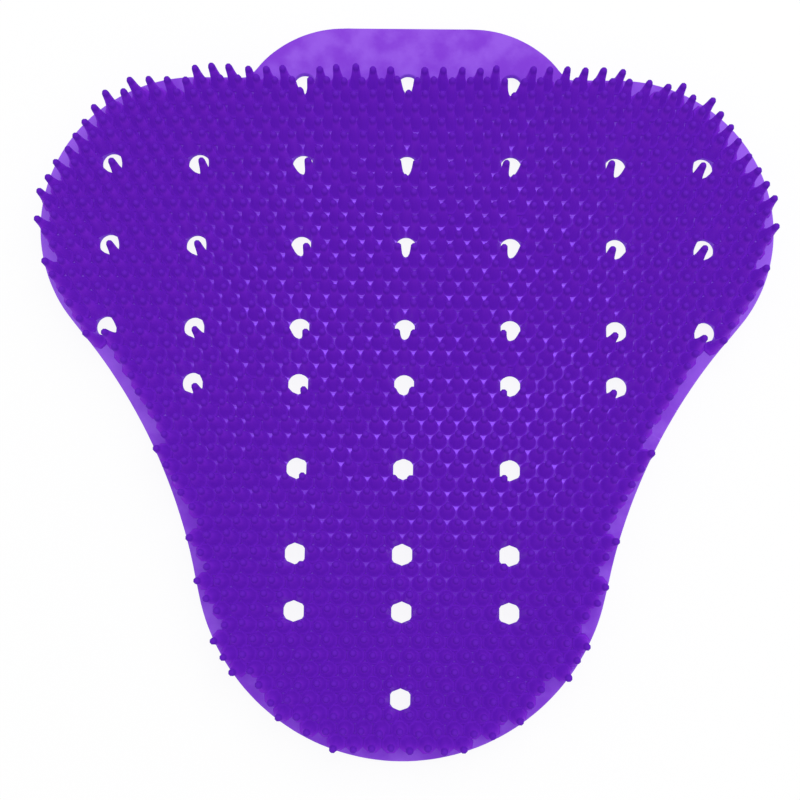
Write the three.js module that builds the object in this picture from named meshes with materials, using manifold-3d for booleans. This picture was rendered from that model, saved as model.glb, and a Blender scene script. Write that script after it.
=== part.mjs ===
// Urinal deodorizer screen: one piece moulded in soft scented plastic.
// A flat sheet with drain holes and a lift tab carries close rows of tapered bristles.
// Millimetres, +Z up. The plain underside rests at Z = 0 and the tab points along +Y.

import * as THREE from 'three';
import { mergeVertices } from 'three/addons/utils/BufferGeometryUtils.js';
import Module from 'manifold-3d';

// Sheet: a broad body with round shoulders and a round end, drawn as arcs that run into each other.
const BODY_WIDTH = 189.4;
const BODY_LENGTH = 174.9;
const SHOULDER_RADIUS = 39.6;
const SIDE_RADIUS = 144.3;
const END_RADIUS = 52.4;
const SHEET_THICKNESS = 2.5;

// Lift tab: flat topped, with wide round corners that sink into the straight edge of the body.
const TAB_WIDTH = 92.3;
const TAB_REACH = 13.5;
const TAB_RADIUS = 29.5;
const TAB_FILLET = 3;

// Bristles: staggered rows, each bristle standing on a six-sided cell of its own.
// The middle of a bristle keeps the edge margin from the outline, and its cell keeps the border.
const PITCH = 4.5;
const ROW_STEP = 3.59;
const BRISTLE_HEIGHT = 12;
const EDGE_MARGIN = 1.78;
const BORDER = 0.15;

// Drain holes: each takes the place of one bristle, and its rim pushes the cells around it back.
// A corner of these cells goes out by this factor at most, so it stays between its bristles.
const DRAIN_DIAMETER = 5.4;
const DRAIN_RIM = 0.1;
const DRAIN_SIDES = 12;
const DRAIN_PUSH = 1.45;

// Columns of drains on each side of the middle one, and how many of them each drain row has.
const DRAIN_COLUMNS = [6, 12, 17];
const DRAIN_ROWS = new Map([
  [0, 1], [6, 3], [12, 3], [18, 3], [22, 2], [28, 1], [34, 1], [38, 1], [44, 0],
]);

// A facet on a round edge stays this close to the true arc, and points this close are the same.
const ARC_SAG = 0.1;
const SAME_POINT = 1e-5;

const RUBBER = { color: 0x5e1db5, roughness: 0.45, metalness: 0 };

// The six neighbours of a cell, anticlockwise, in half columns across and rows down.
const NEIGHBOURS = [[2, 0], [1, -1], [-1, -1], [-2, 0], [-1, 1], [1, 1]];

const wasm = await Module();
wasm.setup();

// Points along an arc between two angles, with as many facets as the sag allows.
function arcPoints(centre, radius, from, to) {
  const step = 2 * Math.acos(1 - ARC_SAG / radius);
  const facets = Math.ceil(Math.abs(to - from) / step);
  const points = [];
  for (let i = 0; i <= facets; i += 1) {
    const angle = from + ((to - from) * i) / facets;
    points.push(new THREE.Vector2(
      centre.x + radius * Math.cos(angle),
      centre.y + radius * Math.sin(angle),
    ));
  }
  return points;
}

// Centre of the hollow arc that touches the end arc and the shoulder arc from outside.
function sideCentre(end, shoulder) {
  const toEnd = END_RADIUS + SIDE_RADIUS;
  const toShoulder = SHOULDER_RADIUS + SIDE_RADIUS;
  const span = shoulder.clone().sub(end);
  const length = span.length();
  const along = (toEnd ** 2 - toShoulder ** 2 + length ** 2) / (2 * length);
  const across = Math.sqrt(toEnd ** 2 - along ** 2);
  const unit = span.divideScalar(length);
  const outward = new THREE.Vector2(unit.y, -unit.x);
  return end.clone().addScaledVector(unit, along).addScaledVector(outward, across);
}

// Outline of the sheet, anticlockwise from the middle of the round end.
function sheetOutline() {
  const end = new THREE.Vector2(0, END_RADIUS - BODY_LENGTH);
  const shoulder = new THREE.Vector2(BODY_WIDTH / 2 - SHOULDER_RADIUS, -SHOULDER_RADIUS);
  const side = sideCentre(end, shoulder);
  const tab = new THREE.Vector2(TAB_WIDTH / 2 - TAB_RADIUS, TAB_REACH - TAB_RADIUS);
  const filletRise = TAB_FILLET - tab.y;
  const filletRun = Math.sqrt((TAB_RADIUS + TAB_FILLET) ** 2 - filletRise ** 2);
  const fillet = new THREE.Vector2(tab.x + filletRun, TAB_FILLET);

  const endAngle = side.clone().sub(end).angle();
  const shoulderAngle = side.clone().sub(shoulder).angle();
  const tabAngle = Math.atan2(filletRise, filletRun);
  const full = 2 * Math.PI;
  const right = [
    ...arcPoints(end, END_RADIUS, -Math.PI / 2, endAngle - full),
    ...arcPoints(side, SIDE_RADIUS, endAngle - Math.PI, shoulderAngle - Math.PI).slice(1),
    ...arcPoints(shoulder, SHOULDER_RADIUS, shoulderAngle - full, Math.PI / 2).slice(1),
    ...arcPoints(fillet, TAB_FILLET, -Math.PI / 2, tabAngle - Math.PI),
    ...arcPoints(tab, TAB_RADIUS, tabAngle, Math.PI / 2).slice(1),
  ];
  const left = right.slice(1).reverse().map((point) => new THREE.Vector2(-point.x, point.y));
  return [...right, ...left];
}

// How far a point lies inside a closed outline, negative when it lies outside.
function depthInside(outline, point) {
  let inside = false;
  let nearest = Infinity;
  outline.forEach((a, i) => {
    const b = outline[(i + 1) % outline.length];
    const edge = b.clone().sub(a);
    const share = THREE.MathUtils.clamp(point.clone().sub(a).dot(edge) / edge.lengthSq(), 0, 1);
    nearest = Math.min(nearest, point.distanceTo(a.clone().addScaledVector(edge, share)));
    if ((a.y > point.y) !== (b.y > point.y)) {
      const crossing = a.x + (edge.x * (point.y - a.y)) / edge.y;
      if (point.x < crossing) inside = !inside;
    }
  });
  return inside ? nearest : -nearest;
}

function siteCentre(half, row) {
  return new THREE.Vector2((half * PITCH) / 2, -EDGE_MARGIN - row * ROW_STEP);
}

const siteKey = (half, row) => `${half},${row}`;

// Half the widest angle between two corners of a cell, seen from its middle.
const sideAngle = Math.atan2(ROW_STEP / 3, PITCH / 2);
const widestHalfAngle = Math.max(sideAngle, (Math.PI / 2 - sideAngle) / 2);
const rimRadius = (DRAIN_DIAMETER / 2 + DRAIN_RIM) / Math.cos(widestHalfAngle);

function isDrain(half, row, depth) {
  if (!DRAIN_ROWS.has(row) || depth < rimRadius + BORDER) return false;
  const columns = DRAIN_COLUMNS.slice(0, DRAIN_ROWS.get(row));
  return half === 0 || columns.includes(Math.abs(half) / 2);
}

// Every place in the staggered rows that is deep enough inside the outline, keyed by half column and row.
function plantSites(outline) {
  const sites = new Map();
  const halves = Math.ceil(BODY_WIDTH / PITCH);
  const rows = Math.ceil(BODY_LENGTH / ROW_STEP);
  for (let row = 0; row < rows; row += 1) {
    for (let half = -halves; half <= halves; half += 1) {
      const depth = depthInside(outline, siteCentre(half, row));
      if ((half + row) % 2 === 0 && depth > EDGE_MARGIN - SAME_POINT) {
        sites.set(siteKey(half, row), { half, row, drain: isDrain(half, row, depth) });
      }
    }
  }
  return sites;
}

function middleOf(points) {
  const sum = points.reduce((total, point) => total.add(point), new THREE.Vector2());
  return sum.divideScalar(points.length);
}

// Corner shared by three cells. Beside a drain it is pushed out to the rim of the hole.
// Near the outline it is drawn in towards the bristles that share it, to leave the border free.
function makeCornerFinder(outline, sites) {
  const corners = new Map();
  return (site, k) => {
    const cells = [[0, 0], NEIGHBOURS[k], NEIGHBOURS[(k + 1) % 6]]
      .map(([across, down]) => ({ half: site.half + across, row: site.row + down }));
    const key = siteKey(
      cells.reduce((sum, cell) => sum + cell.half, 0),
      cells.reduce((sum, cell) => sum + cell.row, 0),
    );
    if (!corners.has(key)) {
      const planted = cells.map((cell) => sites.get(siteKey(cell.half, cell.row)));
      const centres = cells.map((cell) => siteCentre(cell.half, cell.row));
      const corner = middleOf(centres);
      const hole = centres[planted.findIndex((cell) => cell?.drain)];
      if (hole) {
        const furthest = DRAIN_PUSH * corner.distanceTo(hole);
        corner.sub(hole).setLength(Math.min(rimRadius, furthest)).add(hole);
      }
      const depth = depthInside(outline, corner);
      if (depth < BORDER) {
        const inner = middleOf(centres.filter((_, i) => planted[i]));
        corner.lerp(inner, (BORDER - depth) / (depthInside(outline, inner) - depth));
      }
      corners.set(key, corner);
    }
    return corners.get(key);
  };
}

// The closed loops of cell corners round the planted field, each walked with the field on its left.
function fieldLoops(sites, cornerOf) {
  const next = new Map();
  for (const site of sites.values()) {
    NEIGHBOURS.forEach(([across, down], k) => {
      if (sites.has(siteKey(site.half + across, site.row + down))) return;
      next.set(cornerOf(site, (k + 5) % 6), cornerOf(site, k));
    });
  }
  const loops = [];
  while (next.size > 0) {
    const loop = [];
    let corner = next.keys().next().value;
    while (next.has(corner)) {
      const following = next.get(corner);
      loop.push(corner);
      next.delete(corner);
      corner = following;
    }
    loops.push(loop);
  }
  return loops;
}

// Collects triangles and turns them into a solid whose shared points are merged.
class Skin {
  constructor() {
    this.points = [];
  }

  triangle(a, b, c) {
    this.points.push(...a.toArray(), ...b.toArray(), ...c.toArray());
  }

  // Level surface bounded by a contour and cut out along loops.
  level(contour, loops, z, facingUp) {
    const flat = [...contour, ...loops.flat()];
    for (const [a, b, c] of THREE.ShapeUtils.triangulateShape(contour, loops)) {
      const [p, q, r] = (facingUp ? [a, b, c] : [a, c, b]).map((i) => at(flat[i], z));
      this.triangle(p, q, r);
    }
  }

  // Upright wall along a closed contour.
  wall(contour, lowZ, highZ) {
    contour.forEach((from, i) => {
      const to = contour[(i + 1) % contour.length];
      this.triangle(at(from, lowZ), at(to, lowZ), at(to, highZ));
      this.triangle(at(from, lowZ), at(to, highZ), at(from, highZ));
    });
  }

  solid() {
    const geometry = new THREE.BufferGeometry();
    geometry.setAttribute('position', new THREE.Float32BufferAttribute(this.points, 3));
    return toSolid(geometry);
  }
}

const at = (point, z) => new THREE.Vector3(point.x, point.y, z);

function toSolid(geometry) {
  geometry.deleteAttribute('normal');
  geometry.deleteAttribute('uv');
  const merged = mergeVertices(geometry, SAME_POINT);
  return new wasm.Manifold(new wasm.Mesh({
    numProp: 3,
    vertProperties: merged.attributes.position.array,
    triVerts: new Uint32Array(merged.index.array),
  }));
}

function toGeometry(solid) {
  const mesh = solid.getMesh();
  const geometry = new THREE.BufferGeometry();
  geometry.setAttribute('position', new THREE.BufferAttribute(mesh.vertProperties, 3));
  geometry.setIndex(new THREE.BufferAttribute(mesh.triVerts, 1));
  geometry.computeVertexNormals();
  return geometry;
}

// Sheet and bristles as one closed skin. The valleys between bristles lie on the sheet's upper face.
function bristledSheet(outline, sites) {
  const skin = new Skin();
  const cornerOf = makeCornerFinder(outline, sites);

  skin.level(outline, [], 0, false);
  skin.wall(outline, 0, SHEET_THICKNESS);
  skin.level(outline, fieldLoops(sites, cornerOf), SHEET_THICKNESS, true);

  for (const site of sites.values()) {
    const tipZ = SHEET_THICKNESS + (site.drain ? 0 : BRISTLE_HEIGHT);
    const tip = at(siteCentre(site.half, site.row), tipZ);
    NEIGHBOURS.forEach((_, k) => {
      const from = at(cornerOf(site, (k + 5) % 6), SHEET_THICKNESS);
      const to = at(cornerOf(site, k), SHEET_THICKNESS);
      skin.triangle(from, to, tip);
    });
  }
  return skin.solid();
}

// A round cutter through the sheet for each drain.
function drainCutters(sites) {
  const length = 3 * SHEET_THICKNESS;
  return [...sites.values()].filter((site) => site.drain).map((site) => {
    const centre = siteCentre(site.half, site.row);
    const cutter = new THREE.CylinderGeometry(DRAIN_DIAMETER / 2, DRAIN_DIAMETER / 2, length, DRAIN_SIDES);
    cutter.rotateX(Math.PI / 2);
    cutter.translate(centre.x, centre.y, SHEET_THICKNESS / 2);
    return toSolid(cutter);
  });
}

function makeScreen() {
  const outline = sheetOutline();
  const sites = plantSites(outline);
  let screen = bristledSheet(outline, sites);
  for (const cutter of drainCutters(sites)) screen = screen.subtract(cutter);
  const mesh = new THREE.Mesh(toGeometry(screen), new THREE.MeshStandardMaterial(RUBBER));
  mesh.name = 'screen';
  mesh.position.y = (BODY_LENGTH - TAB_REACH) / 2;
  return mesh;
}

const part = new THREE.Group();
part.name = 'urinal_deodorizer_screen';
part.add(makeScreen());

export default part;
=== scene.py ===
import math

import bmesh
import bpy
import numpy as np
from mathutils import Matrix, Vector


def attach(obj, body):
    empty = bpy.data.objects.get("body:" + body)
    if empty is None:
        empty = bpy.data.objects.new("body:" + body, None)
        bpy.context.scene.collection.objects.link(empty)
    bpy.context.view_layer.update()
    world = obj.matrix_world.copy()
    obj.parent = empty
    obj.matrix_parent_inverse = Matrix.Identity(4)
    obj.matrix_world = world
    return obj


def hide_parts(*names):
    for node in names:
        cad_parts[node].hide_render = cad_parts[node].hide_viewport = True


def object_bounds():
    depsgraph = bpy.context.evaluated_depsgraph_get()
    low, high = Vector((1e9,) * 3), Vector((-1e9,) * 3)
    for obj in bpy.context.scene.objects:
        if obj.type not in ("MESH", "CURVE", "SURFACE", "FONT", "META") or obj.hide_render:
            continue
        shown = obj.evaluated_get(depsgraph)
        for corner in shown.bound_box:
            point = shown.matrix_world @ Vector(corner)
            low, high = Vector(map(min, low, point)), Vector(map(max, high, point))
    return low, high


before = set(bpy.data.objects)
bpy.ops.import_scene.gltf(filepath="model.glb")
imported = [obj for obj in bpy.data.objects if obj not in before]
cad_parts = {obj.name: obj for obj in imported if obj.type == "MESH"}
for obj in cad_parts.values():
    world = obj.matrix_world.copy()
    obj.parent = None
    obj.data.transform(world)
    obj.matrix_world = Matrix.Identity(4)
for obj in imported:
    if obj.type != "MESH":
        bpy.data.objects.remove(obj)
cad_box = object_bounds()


# The camera looks almost straight down from about 40 cm, over the lower half of the screen.
# It is tipped a little towards the lift tab, so the bristles lean outwards over every edge.
# Lengths are in millimetres and angles in degrees, here and in every section.
MM = 0.001
CAMERA_PLACE = (4.05, -54.45, 410.4)
CAMERA_TILT = 7.06
CAMERA_SWING = 0.71
CAMERA_ROLL = 0.73
CAMERA_FOCAL_PIXELS = 1615
CAMERA_SENSOR = 36
CAMERA_NEAR = 10
PICTURE_WIDTH = 800

lens = bpy.data.cameras.new("studio_camera")
lens.sensor_width = CAMERA_SENSOR
lens.lens = CAMERA_SENSOR * CAMERA_FOCAL_PIXELS / PICTURE_WIDTH
lens.clip_start = CAMERA_NEAR * MM
camera = bpy.data.objects.new("studio_camera", lens)
camera.matrix_world = (
    Matrix.Translation(Vector(CAMERA_PLACE) * MM)
    @ Matrix.Rotation(math.radians(CAMERA_SWING), 4, "Y")
    @ Matrix.Rotation(math.radians(CAMERA_TILT), 4, "X")
    @ Matrix.Rotation(math.radians(CAMERA_ROLL), 4, "Z")
)
bpy.context.scene.collection.objects.link(camera)
bpy.context.scene.camera = camera
bpy.context.scene.view_settings.view_transform = "Standard"


# The studio is a white table under one broad soft lamp and an even pale surround.
# The table shows as white and keeps a faint share of the shadow that the screen throws on it.
TABLE_WIDTH = 3000
TABLE_DROP = 0.05
TABLE_COLOUR = (0.86, 0.86, 0.87, 1)
TABLE_ROUGHNESS = 0.9
SHADOW_SHARE = 0.1
WHITE = (1, 1, 1, 1)
SURROUND_STRENGTH = 0.8
LAMP_PLACE = (250, 300, 900)
LAMP_WIDTH = 900
LAMP_WATTS = 4.5


class Term:
    """A node's output that can stand in a sum."""

    def __init__(self, paint, socket):
        self.paint = paint
        self.socket = socket

    def __add__(self, other):
        return self.paint.maths("ADD", self, other)

    def __sub__(self, other):
        return self.paint.maths("SUBTRACT", self, other)

    def __rsub__(self, other):
        return self.paint.maths("SUBTRACT", other, self)

    def __mul__(self, other):
        return self.paint.maths("MULTIPLY", self, other)

    __radd__ = __add__
    __rmul__ = __mul__


class Paint:
    """The nodes of a material or of the surround, written as expressions."""

    def __init__(self, owner):
        owner.use_nodes = True
        self.tree = owner.node_tree

    def feed(self, socket, value):
        """Links a term to the socket or writes a plain value there. None leaves it as it is."""
        if isinstance(value, Term):
            self.tree.links.new(value.socket, socket)
        elif value is not None:
            socket.default_value = value

    def node(self, kind, settings, *values, output=0, **named):
        """New node, with its settings first and then the values of its sockets."""
        made = self.tree.nodes.new(kind)
        for name, value in settings.items():
            setattr(made, name, value)
        for index, value in enumerate(values):
            self.feed(made.inputs[index], value)
        for name, value in named.items():
            self.feed(made.inputs[name.replace("_", " ")], value)
        return Term(self, made.outputs[output])

    def maths(self, operation, *values):
        return self.node("ShaderNodeMath", {"operation": operation}, *values)

    def distance(self, first, second):
        settings = {"operation": "DISTANCE"}
        return self.node("ShaderNodeVectorMath", settings, first, second, output="Value")

    def mix(self, share, first, second):
        """Colour that goes from the first to the second as the share goes from 0 to 1."""
        ends = [end if isinstance(end, Term) else (*end, 1) for end in (first, second)]
        unused = [None] * 5
        return self.node("ShaderNodeMix", {"data_type": "RGBA"}, share, *unused, *ends, output=2)

    def ramp(self, value, first, last):
        """Soft step from 0 to 1 as the value goes from the first mark to the last."""
        settings = {"interpolation_type": "SMOOTHSTEP"}
        return self.node("ShaderNodeMapRange", settings, value, first, last)

    def noise(self, place, size, detail=3.0):
        """Cloudy pattern, from 0 to 1, whose patches are about that size across."""
        return self.node(
            "ShaderNodeTexNoise", {}, Vector=place, Scale=1 / (size * MM), Detail=detail
        )


def seen_white(paint):
    """1 for rays that show white surroundings: seen, mirrored or passed on. Otherwise 0."""
    seen, mirrored, passed_on = [
        paint.node("ShaderNodeLightPath", {}, output=ray)
        for ray in ("Is Camera Ray", "Is Glossy Ray", "Is Transmission Ray")
    ]
    return paint.maths("MAXIMUM", paint.maths("MAXIMUM", seen, mirrored), passed_on)


def white_table():
    material = bpy.data.materials.new("white_table")
    paint = Paint(material)
    matte = paint.tree.nodes["Principled BSDF"]
    paint.feed(matte.inputs["Base Color"], TABLE_COLOUR)
    paint.feed(matte.inputs["Roughness"], TABLE_ROUGHNESS)
    shaded = Term(paint, matte.outputs[0])
    plain = paint.node("ShaderNodeEmission", {}, WHITE)
    share = seen_white(paint) * (1 - SHADOW_SHARE)
    surface = paint.node("ShaderNodeMixShader", {}, share, shaded, plain)
    paint.feed(paint.tree.nodes["Material Output"].inputs["Surface"], surface)
    return material


half = TABLE_WIDTH / 2 * MM
corners = [(-half, -half, 0), (half, -half, 0), (half, half, 0), (-half, half, 0)]
table_mesh = bpy.data.meshes.new("table")
table_mesh.from_pydata(corners, [], [(0, 1, 2, 3)])
table_mesh.materials.append(white_table())
table = bpy.data.objects.new("table", table_mesh)
table.location.z = -TABLE_DROP * MM
bpy.context.scene.collection.objects.link(table)

surround = bpy.data.worlds.new("pale_surround")
bpy.context.scene.world = surround
air = Paint(surround)
background = air.tree.nodes["Background"]
brightness = seen_white(air) * (1 - SURROUND_STRENGTH) + SURROUND_STRENGTH
air.feed(background.inputs["Color"], WHITE)
air.feed(background.inputs["Strength"], brightness)

softbox = bpy.data.lights.new("softbox", "AREA")
softbox.shape = "DISK"
softbox.size = LAMP_WIDTH * MM
softbox.energy = LAMP_WATTS
lamp = bpy.data.objects.new("softbox", softbox)
lamp.location = Vector(LAMP_PLACE) * MM
lamp.rotation_euler = Vector(LAMP_PLACE).to_track_quat("Z", "Y").to_euler()
bpy.context.scene.collection.objects.link(lamp)


# The sheet is the flat back of the moulding, with the lift tab, a soft edge all round and a
# round drain in place of a bristle here and there. It is moulded in one soft scented plastic.
SHEET_EDGE = 0.35
SHEET_INSET = 0.07
EDGE_STEPS = 2
LONGEST_CHORD = 12.0
STRAIGHT_STEP = 3.0
CHORD_STEPS = 3

# Where two faces or points of the solid count as level, upright, flat or the same.
LEVEL = 0.01
UPRIGHT = 0.5
FLAT = 0.999
SAME = 0.001

# A thin stretch of the plastic, like the sheet and the tab, lets light through and shows
# cloudy pale violet, palest in the shoulders. The solid bristles show deep purple.
# Up each bristle, painted light lifts the root and painted shade darkens the tip, where the lamp
# falls most.
SHEET_VIOLET = (0.157, 0.035, 0.445)
SHEET_PALE = (0.205, 0.07, 0.515)
SHOULDER_VIOLET = (0.222, 0.08, 0.545)
ROOT_LIT_PURPLE = (0.163, 0.018, 0.475)
SHAFT_PURPLE = (0.147, 0.0155, 0.443)
TIP_SHADED_PURPLE = (0.081, 0.0086, 0.325)
CLOUD_SIZE = 7.0
CLOUD_DETAIL = 4.0
CLOUD_MARKS = (0.35, 0.7)
SHOULDERS = (60, 85)
ROOT_HEIGHTS = (0.01, 0.03)
SHAFT_HEIGHTS = (0.4, 1.4)
TIP_SHADE_DEPTHS = (3.5, 1.0)
# The plastic glows at this share of its own colour: painted light that lifts its shade.
GLOW = 0.45
SHINE = 0.03
ROUGHNESS = 0.6
CLOUD_ROUGHNESS = 0.1
GRAIN_SIZES = (0.6, 3.0)
GRAIN_STRENGTH = 0.25
GRAIN_DEPTH = 0.1

# A pale speck of painted light shows where light reaches the sheet in the valley between three
# bristles, and a faint web of painted light runs round the roots. Both are strongest in mid-field.
PITCH = 4.5
ROW_STEP = 3.59
VALLEY_LIGHT_VIOLET = (0.46, 0.17, 0.95)
SPECK_SIZE = 1.4
SPECK_CORE = 0.3
SPECK_RISE = 0.3
SPECK_MIDDLE = (6.0, 13.0, 0.0)
SPECK_REACH = 78.0
SPECKS_FULL = 35.0
SPECK_PATCH = 12.0
SPECK_CHANCES = (0.5, 1.3)
ROOT_REACH = 1.98
ROOT_FADE = 0.25
WEB_SHARE = 0.26
WEB_PATCH = 25.0
WEB_MARKS = (0.45, 0.65)

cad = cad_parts["screen"]
solid = bmesh.new()
solid.from_mesh(cad.data)
bmesh.ops.remove_doubles(solid, verts=solid.verts, dist=SAME * MM)
tip_height = max(vertex.co.z for vertex in solid.verts)
sheet_top = min(vertex.co.z for vertex in solid.verts if vertex.co.z > LEVEL * MM)


def underside_loops(solid):
    """Closed loops of points round the underside: the outline first, then every drain."""
    rims = {}
    for edge in solid.edges:
        highest = max(vertex.co.z for vertex in edge.verts)
        walls = [face for face in edge.link_faces if abs(face.normal.z) < UPRIGHT]
        if highest < LEVEL * MM and len(walls) == 1:
            for vertex, other in (edge.verts, reversed(edge.verts)):
                rims.setdefault(vertex, []).append(other)
    loops = []
    while rims:
        loop = [next(iter(rims))]
        while loop[-1] in rims:
            ways = rims.pop(loop[-1])
            loop.append(next((way for way in ways if way in rims), loop[0]))
        loops.append([vertex.co.copy() for vertex in loop[:-1]])
    return sorted(loops, key=len, reverse=True)


outline, *drains = underside_loops(solid)
tips = [vertex.co.copy() for vertex in solid.verts if vertex.co.z > tip_height - LEVEL * MM]
solid.free()


def add_ring(curve, points):
    """Closes a smooth ring through the points, and through more of them on a long straight edge."""
    knots = []
    for point, following in zip(points, points[1:] + points[:1]):
        length = (following - point).length
        straight = length > LONGEST_CHORD * MM
        steps = math.ceil(length / (STRAIGHT_STEP * MM)) if straight else 1
        knots += [point.lerp(following, step / steps) for step in range(steps)]
    spline = curve.splines.new("BEZIER")
    spline.bezier_points.add(len(knots) - 1)
    for knot, point in zip(spline.bezier_points, knots):
        knot.co = (point.x, point.y, 0)
        knot.handle_left_type = knot.handle_right_type = "AUTO"
    spline.use_cyclic_u = True
    spline.resolution_u = CHORD_STEPS


def apply_mesh(thing, name):
    """Plain mesh of an object's evaluated shape."""
    shape = thing.evaluated_get(bpy.context.evaluated_depsgraph_get())
    mesh = bpy.data.meshes.new_from_object(shape)
    mesh.name = name
    return mesh


def sheet_mesh():
    curve = bpy.data.curves.new("sheet_outline", "CURVE")
    curve.dimensions = "2D"
    curve.fill_mode = "BOTH"
    curve.extrude = sheet_top / 2 - SHEET_EDGE * MM
    curve.bevel_depth = SHEET_EDGE * MM
    curve.bevel_resolution = EDGE_STEPS
    curve.offset = -(SHEET_EDGE + SHEET_INSET) * MM
    for loop in (outline, *drains):
        add_ring(curve, loop)
    outline_object = bpy.data.objects.new("sheet_outline", curve)
    bpy.context.scene.collection.objects.link(outline_object)
    mesh = apply_mesh(outline_object, "sheet")
    bpy.data.objects.remove(outline_object)
    mesh.transform(Matrix.Translation((0, 0, sheet_top / 2)))
    made = bmesh.new()
    made.from_mesh(mesh)
    bmesh.ops.remove_doubles(made, verts=made.verts, dist=SAME * MM)
    bmesh.ops.recalc_face_normals(made, faces=made.faces)
    for face in made.faces:
        face.smooth = abs(face.normal.z) < FLAT
    made.to_mesh(mesh)
    made.free()
    return mesh


def painted_valley_light(paint, place, first_row):
    """How much painted light lies in the valley above each pair of neighbours in a row, and in a
    faint web round the roots, most of all in mid-field.
    """
    across = paint.node("ShaderNodeSeparateXYZ", {}, place, output="X")
    along = paint.node("ShaderNodeSeparateXYZ", {}, place, output="Y")
    valley = (first_row + ROW_STEP / 3 * MM - along) * (1 / (ROW_STEP * MM))
    row = paint.maths("ROUND", valley)
    column = across * (1 / (PITCH * MM)) + row * 0.5
    whole = paint.maths("FLOOR", column)
    beside = paint.maths("ABSOLUTE", column - whole - 0.5)
    aside = paint.node("ShaderNodeCombineXYZ", {}, beside * PITCH, (valley - row) * ROW_STEP)
    heart = paint.distance(aside, (0, -SPECK_RISE, 0))
    lower_root = paint.distance(aside, (PITCH / 2, ROW_STEP / 3, 0))
    upper_root = paint.distance(aside, (0, -ROW_STEP * 2 / 3, 0))
    nearest_root = paint.maths("MINIMUM", lower_root, upper_root)
    middle = paint.distance(place, Vector(SPECK_MIDDLE) * MM)
    cell = paint.node("ShaderNodeCombineXYZ", {}, whole, row)
    chance = paint.node("ShaderNodeTexWhiteNoise", {}, cell, output="Value")
    lit = paint.ramp(chance + paint.noise(place, SPECK_PATCH), *SPECK_CHANCES)
    light_speck = lit * paint.ramp(heart, SPECK_SIZE, SPECK_CORE * SPECK_SIZE)
    light_web = WEB_SHARE * paint.ramp(paint.noise(place, WEB_PATCH), *WEB_MARKS)
    bare = paint.ramp(nearest_root, ROOT_REACH, ROOT_REACH + ROOT_FADE)
    return (light_speck + light_web) * bare * paint.ramp(middle, SPECK_REACH * MM, SPECKS_FULL * MM)


def soft_plastic(first_row):
    material = bpy.data.materials.new("soft_plastic")
    paint = Paint(material)
    place = paint.node("ShaderNodeTexCoord", {}, output="Object")
    height = paint.node("ShaderNodeSeparateXYZ", {}, place, output="Z")
    across = paint.node("ShaderNodeSeparateXYZ", {}, place, output="X")
    shoulders = [mark * MM for mark in SHOULDERS]
    clouds = paint.ramp(paint.noise(place, CLOUD_SIZE, CLOUD_DETAIL), *CLOUD_MARKS)
    valley_light = painted_valley_light(paint, place, first_row)
    colour = paint.mix(clouds, SHEET_VIOLET, SHEET_PALE)
    colour = paint.mix(
        paint.ramp(paint.maths("ABSOLUTE", across), *shoulders), colour, SHOULDER_VIOLET
    )
    # Painted light in the valleys, mixed into the sheet's colour here and into the roots' below.
    colour = paint.mix(valley_light, colour, VALLEY_LIGHT_VIOLET)
    # The root's colour is lifted with painted light, and it also takes the painted valley light.
    root = paint.mix(valley_light, ROOT_LIT_PURPLE, VALLEY_LIGHT_VIOLET)
    # Up the bristle: painted light at the root, the shaft's own purple, then painted shade at the
    # tip.
    for shade, marks in [
        (root, [sheet_top + mark * MM for mark in ROOT_HEIGHTS]),
        (SHAFT_PURPLE, [sheet_top + mark * MM for mark in SHAFT_HEIGHTS]),
        (TIP_SHADED_PURPLE, [tip_height - mark * MM for mark in TIP_SHADE_DEPTHS]),
    ]:
        colour = paint.mix(paint.ramp(height, *marks), colour, shade)
    fine, coarse = [paint.noise(place, size) for size in GRAIN_SIZES]
    bump = paint.node(
        "ShaderNodeBump", {},
        Strength=GRAIN_STRENGTH, Distance=GRAIN_DEPTH * MM, Height=fine + coarse,
    )
    shader = paint.tree.nodes["Principled BSDF"]
    for name, value in {
        "Base Color": colour,
        # The emission is painted light: the plastic glows with its own colour.
        "Emission Color": colour,
        "Emission Strength": GLOW,
        "Roughness": ROUGHNESS + CLOUD_ROUGHNESS * clouds,
        "Specular IOR Level": SHINE,
        "Normal": bump,
    }.items():
        paint.feed(shader.inputs[name], value)
    return material


plastic = soft_plastic(max(tip.y for tip in tips))
sheet = bpy.data.objects.new("sheet", sheet_mesh())
sheet.data.materials.clear()
sheet.data.materials.append(plastic)
bpy.context.scene.collection.objects.link(sheet)
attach(sheet, "root")
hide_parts("screen")


# The bristles are moulded with the sheet: round and slender, with a flared root and a soft tip.
# They stand in staggered rows root to root, and splay a little towards the edge of the sheet.
# Inside the field, where they have neighbours on every side, they lean towards the tab.
BRISTLE_PROFILE = [
    (2.7, -0.12), (2.15, 0.3), (1.8, 1.4), (1.42, 3.8), (1.15, 6.6), (0.9, 11.0),
    (0.66, 11.7), (0.25, 11.98),
]
BRISTLE_SIDES = 8
ROOT_HEIGHT = 4.5
DRAIN_CLEAR = 0.1
SPLAY_AT_EDGE = 4.0
TAB_LEAN = 5.2
CROWD_REACH = 9.6
CROWD_AT_EDGE = 11
CROWD_INSIDE = 17
LEAN = 2.2
THINNEST = (0.95, 0.95, 0.96)
THICKEST = (1.04, 1.04, 1.0)
SEED = 5


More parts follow.
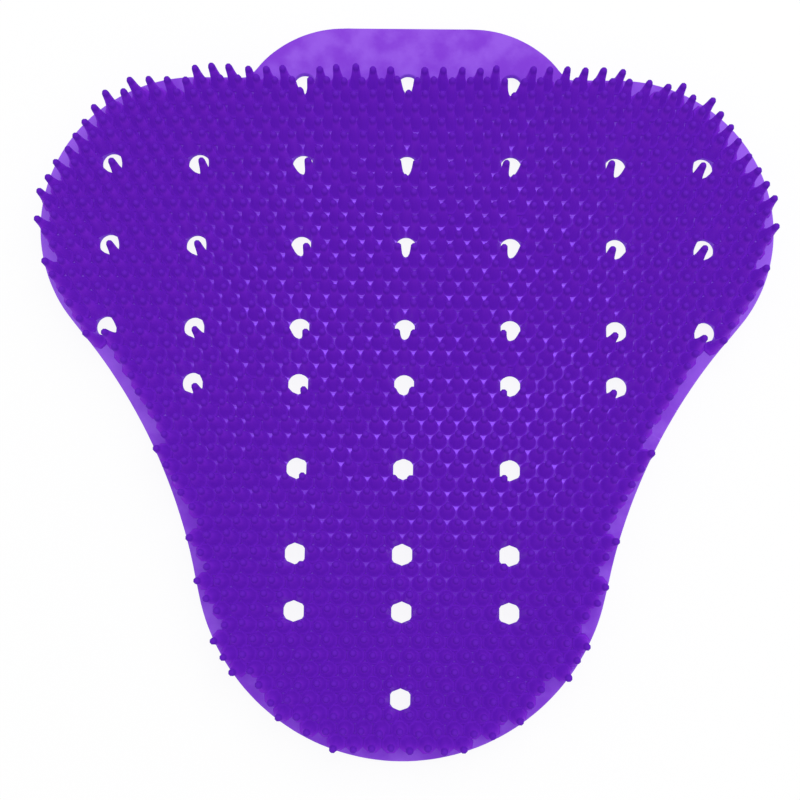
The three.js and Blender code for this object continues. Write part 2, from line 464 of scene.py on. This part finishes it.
def bristle_mesh():
    """One bristle, turned from its profile of radius and height."""
    turns = [2 * math.pi * (i + 0.5) / BRISTLE_SIDES for i in range(BRISTLE_SIDES)]
    made = bmesh.new()
    rings = [
        [made.verts.new((r * math.cos(a) * MM, r * math.sin(a) * MM, h * MM)) for a in turns]
        for r, h in BRISTLE_PROFILE
    ]
    for lower, upper in zip(rings, rings[1:]):
        for i in range(BRISTLE_SIDES):
            j = (i + 1) % BRISTLE_SIDES
            made.faces.new((lower[i], lower[j], upper[j], upper[i]))
    made.faces.new(reversed(rings[0]))
    made.faces.new(rings[-1])
    for face in made.faces:
        face.smooth = True
    mesh = bpy.data.meshes.new("bristle")
    made.to_mesh(mesh)
    made.free()
    return mesh


def bristle_tree(material):
    """Stands a bristle on every foot, splayed outwards, leaned to the tab inside and at random."""
    tree = bpy.data.node_groups.new("bristle_field", "GeometryNodeTree")
    nodes = tree.nodes
    link = tree.links.new
    tree.interface.new_socket(name="Field", in_out="OUTPUT", socket_type="NodeSocketGeometry")
    inputs = {}
    for name, kind in [
        ("Feet", "Geometry"), ("Bristle", "Object"), ("Splay", "Float"), ("Tab Lean", "Vector"),
        ("Lean", "Vector"), ("Thinnest", "Vector"), ("Thickest", "Vector"), ("Seed", "Int"),
    ]:
        inputs[name] = tree.interface.new_socket(
            name=name, in_out="INPUT", socket_type="NodeSocket" + kind
        ).identifier
    given = nodes.new("NodeGroupInput").outputs

    def vector_maths(operation, first, second):
        made = nodes.new("ShaderNodeVectorMath")
        made.operation = operation
        last = made.inputs["Scale"] if operation == "SCALE" else made.inputs[1]
        for value, socket in ((first, made.inputs[0]), (second, last)):
            if isinstance(value, bpy.types.NodeSocket):
                link(value, socket)
            else:
                socket.default_value = value
        return made.outputs["Vector"]

    def random_vector(low, high, seed_shift):
        made = nodes.new("FunctionNodeRandomValue")
        made.data_type = "FLOAT_VECTOR"
        seed = nodes.new("ShaderNodeMath")
        seed.inputs[1].default_value = seed_shift
        link(given["Seed"], seed.inputs[0])
        link(low, made.inputs["Min"])
        link(high, made.inputs["Max"])
        link(seed.outputs[0], made.inputs["Seed"])
        return made.outputs["Value"]

    position = nodes.new("GeometryNodeInputPosition").outputs[0]
    inside = nodes.new("GeometryNodeInputNamedAttribute")
    inside.inputs["Name"].default_value = "inside"
    outward = vector_maths("CROSS_PRODUCT", (0, 0, 1), position)
    splay = vector_maths("SCALE", outward, given["Splay"])
    tab_lean = vector_maths("SCALE", given["Tab Lean"], inside.outputs["Attribute"])
    lean_back = vector_maths("SCALE", given["Lean"], -1)
    lean = random_vector(lean_back, given["Lean"], 0)
    turn = vector_maths("ADD", vector_maths("ADD", splay, tab_lean), lean)

    bristle = nodes.new("GeometryNodeObjectInfo")
    stand = nodes.new("GeometryNodeInstanceOnPoints")
    realize = nodes.new("GeometryNodeRealizeInstances")
    coat = nodes.new("GeometryNodeSetMaterial")
    coat.inputs["Material"].default_value = material
    link(given["Bristle"], bristle.inputs["Object"])
    link(bristle.outputs["Geometry"], stand.inputs["Instance"])
    link(given["Feet"], stand.inputs["Points"])
    link(turn, stand.inputs["Rotation"])
    link(random_vector(given["Thinnest"], given["Thickest"], 1), stand.inputs["Scale"])
    link(stand.outputs[0], realize.inputs[0])
    link(realize.outputs[0], coat.inputs["Geometry"])
    link(coat.outputs[0], nodes.new("NodeGroupOutput").inputs["Field"])
    return tree, inputs


def feet_mesh():
    """A foot under every tip, with how far inside the field it stands: 0 at the edge to 1."""
    feet = bpy.data.meshes.new("bristle_feet")
    feet.from_pydata([(tip.x, tip.y, sheet_top) for tip in tips], [], [])
    stand = np.array([tip[:2] for tip in tips])
    apart = np.linalg.norm(stand[:, None] - stand[None], axis=2)
    crowd = np.sum(apart < CROWD_REACH * MM, axis=1)
    inside = np.clip((crowd - CROWD_AT_EDGE) / (CROWD_INSIDE - CROWD_AT_EDGE), 0, 1)
    feet.attributes.new("inside", "FLOAT", "POINT").data.foreach_set("value", inside)
    return feet


def drawn_inside(plan):
    """Points past the outline, or over its soft edge, drawn back to the sheet's flat."""
    start = np.array([point[:2] for point in outline])
    along = np.roll(start, -1, axis=0) - start
    turn = np.sign(np.sum(start[:, 0] * along[:, 1] - start[:, 1] * along[:, 0]))
    length = np.linalg.norm(along, axis=1)
    outward = turn * np.stack([along[:, 1], -along[:, 0]], axis=1) / length[:, None]
    share = np.einsum("pek,ek->pe", plan[:, None] - start[None], along) / length ** 2
    nearest = start[None] + np.clip(share, 0, 1)[..., None] * along[None]
    apart = np.linalg.norm(plan[:, None] - nearest, axis=2)
    edge = np.argmin(apart, axis=1)
    nearest = nearest[np.arange(len(plan)), edge]
    beyond = np.sum((plan - nearest) * outward[edge], axis=1) > -SHEET_EDGE * MM
    flat = nearest - outward[edge] * SHEET_EDGE * MM
    return np.where(beyond[:, None], flat, plan)


def pushed_off_drains(plan):
    """Points over a drain pushed out to its rim."""
    for drain in drains:
        middle = sum(drain, Vector()) / len(drain)
        rim = (drain[0] - middle).length + DRAIN_CLEAR * MM
        away = plan - np.array(middle[:2])
        reach = np.linalg.norm(away, axis=1, keepdims=True)
        plan = np.where(reach < rim, np.array(middle[:2]) + away / reach * rim, plan)
    return plan


def keep_roots_on_sheet(mesh):
    """Moves the low parts of the bristles that reach past the outline or over a drain."""
    places = np.empty(len(mesh.vertices) * 3, np.float32)
    mesh.vertices.foreach_get("co", places)
    places = places.reshape(-1, 3)
    low = places[:, 2] < sheet_top + ROOT_HEIGHT * MM
    places[low, :2] = pushed_off_drains(drawn_inside(places[low, :2]))
    mesh.vertices.foreach_set("co", places.ravel())


bristle = bpy.data.objects.new("bristle", bristle_mesh())
bpy.context.scene.collection.objects.link(bristle)
bristles = bpy.data.objects.new("bristles", feet_mesh())
bpy.context.scene.collection.objects.link(bristles)

tree, inputs = bristle_tree(plastic)
growth = bristles.modifiers.new("growth", "NODES")
growth.node_group = tree
growth[inputs["Bristle"]] = bristle
growth[inputs["Splay"]] = math.radians(SPLAY_AT_EDGE) / cad_box[1][0]
growth[inputs["Tab Lean"]] = (-math.radians(TAB_LEAN), 0.0, 0.0)
growth[inputs["Lean"]] = (math.radians(LEAN), math.radians(LEAN), 0.0)
growth[inputs["Thinnest"]] = THINNEST
growth[inputs["Thickest"]] = THICKEST
growth[inputs["Seed"]] = SEED
field = apply_mesh(bristles, "bristles")
keep_roots_on_sheet(field)
bristles.modifiers.clear()
bristles.data = field
bpy.data.objects.remove(bristle)
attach(bristles, "root")
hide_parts("screen")
